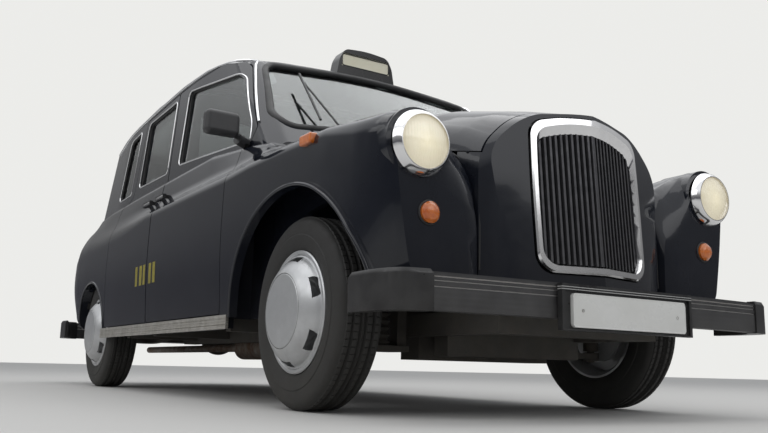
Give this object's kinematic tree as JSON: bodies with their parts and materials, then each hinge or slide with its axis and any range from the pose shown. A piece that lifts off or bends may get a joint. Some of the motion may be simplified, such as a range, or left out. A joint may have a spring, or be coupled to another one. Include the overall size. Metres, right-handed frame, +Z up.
{
  "type": "taxi cab",
  "caption": "Black purpose-built taxi with separate wings, round lamps, upright grille, roof sign, opening doors, bonnet and boot, steering and turning wheels.",
  "frame": {"origin": "on the ground under the middle of the vehicle's box", "axes": "+X forward to the grille, +Y to the vehicle's left, +Z up"},
  "size_m": [4.5798, 1.96, 1.7853],
  "materials": {
    "black_paint": "gloss",
    "glass": "polished",
    "chrome": "polished",
    "grille_grey": "satin",
    "lamp_glass": "ribbed",
    "amber": "gloss",
    "red_lens": "gloss",
    "bumper_rubber": "ribbed",
    "black_trim": "matte",
    "plate_white": "satin",
    "aluminium": "satin",
    "sign_cream": "satin",
    "interior_grey": "matte",
    "seat_vinyl": "satin",
    "floor_black": "matte",
    "chassis_black": "matte",
    "steel": "dull",
    "iron": "dull",
    "wheel_silver": "satin",
    "tyre": "matte"
  },
  "bodies": {
    "body": {"body_shell": "black_paint", "bumper_ends": "black_trim", "bumpers": "bumper_rubber", "chassis_frame": "chassis_black", "dashboard": "interior_grey", "engine_block": "iron", "exhaust": "steel", "fixed_windows": "glass", "floor_pan": "floor_black", "front_seat": "seat_vinyl", "front_suspension": "chassis_black", "front_wings": "black_paint", "fuel_tank": "chassis_black", "grille_bars": "grille_grey", "grille_surround": "chrome", "headlamp_lenses": "lamp_glass", "headlamp_rims": "chrome", "indicator_lenses": "amber", "nose_panel": "black_paint", "partition": "interior_grey", "plate_holder": "black_trim", "plates": "plate_white", "propshaft": "steel", "rear_axle": "iron", "rear_seat": "seat_vinyl", "roof_sign_face": "sign_cream", "roof_sign_housing": "black_trim", "sill_strips": "aluminium", "steering_wheel": "black_trim", "tail_lamps": "red_lens", "wipers": "black_trim"},
    "door_front_left_body": {"door_front_left": "black_paint", "glass_front_left": "glass", "handle_front_left": "black_trim", "mirror_left": "black_trim"},
    "door_rear_left_body": {"door_rear_left": "black_paint", "glass_rear_left": "glass", "handle_rear_left": "black_trim"},
    "steer_left_body": {"knuckle_left": "iron"},
    "wheel_front_left_body": {"tyre_front_left": "tyre", "wheel_front_left": "wheel_silver"},
    "wheel_rear_left_body": {"tyre_rear_left": "tyre", "wheel_rear_left": "wheel_silver"},
    "door_front_right_body": {"door_front_right": "black_paint", "glass_front_right": "glass", "handle_front_right": "black_trim", "mirror_right": "black_trim"},
    "door_rear_right_body": {"door_rear_right": "black_paint", "glass_rear_right": "glass", "handle_rear_right": "black_trim"},
    "steer_right_body": {"knuckle_right": "iron"},
    "wheel_front_right_body": {"tyre_front_right": "tyre", "wheel_front_right": "wheel_silver"},
    "wheel_rear_right_body": {"tyre_rear_right": "tyre", "wheel_rear_right": "wheel_silver"},
    "bonnet_body": {"bonnet": "black_paint"},
    "boot_lid_body": {"boot_lid": "black_paint"}
  },
  "joints": [
    {"name": "steer_left", "type": "hinge", "parent": "body", "child": "steer_left_body", "pos_m": [1.5, 0.64, 0.34], "axis": [0, 0, 1], "range_deg": [-45, 45]},
    {"name": "spin_front_left", "type": "hinge", "parent": "steer_left_body", "child": "wheel_front_left_body", "pos_m": [1.5, 0.726, 0.34], "axis": [0, 1, 0], "continuous": true},
    {"name": "spin_rear_left", "type": "hinge", "parent": "body", "child": "wheel_rear_left_body", "pos_m": [-1.312, 0.726, 0.34], "axis": [0, 1, 0], "continuous": true},
    {"name": "door_front_left_hinge", "type": "hinge", "parent": "body", "child": "door_front_left_body", "pos_m": [0.862, 0.868, 0.7], "axis": [0, 0, -1], "range_deg": [0, 65]},
    {"name": "door_rear_left_hinge", "type": "hinge", "parent": "body", "child": "door_rear_left_body", "pos_m": [-1.045, 0.868, 0.7], "axis": [0, 0, 1], "range_deg": [0, 70]},
    {"name": "steer_right", "type": "hinge", "parent": "body", "child": "steer_right_body", "pos_m": [1.5, -0.64, 0.34], "axis": [0, 0, 1], "range_deg": [-45, 45]},
    {"name": "spin_front_right", "type": "hinge", "parent": "steer_right_body", "child": "wheel_front_right_body", "pos_m": [1.5, -0.726, 0.34], "axis": [0, 1, 0], "continuous": true},
    {"name": "spin_rear_right", "type": "hinge", "parent": "body", "child": "wheel_rear_right_body", "pos_m": [-1.312, -0.726, 0.34], "axis": [0, 1, 0], "continuous": true},
    {"name": "door_front_right_hinge", "type": "hinge", "parent": "body", "child": "door_front_right_body", "pos_m": [0.862, -0.868, 0.7], "axis": [0, 0, 1], "range_deg": [0, 65]},
    {"name": "door_rear_right_hinge", "type": "hinge", "parent": "body", "child": "door_rear_right_body", "pos_m": [-1.045, -0.868, 0.7], "axis": [0, 0, -1], "range_deg": [0, 70]},
    {"name": "bonnet_hinge", "type": "hinge", "parent": "body", "child": "bonnet_body", "pos_m": [1.117, 0, 1.222], "axis": [0, -1, 0], "range_deg": [0, 45]},
    {"name": "boot_lid_hinge", "type": "hinge", "parent": "body", "child": "boot_lid_body", "pos_m": [-2.067, 0, 1.017], "axis": [0, 1, 0], "range_deg": [0, 75]}
  ],
  "couplings": [
    {"joint": "steer_right", "follows": "steer_left", "ratio": 1}
  ]
}
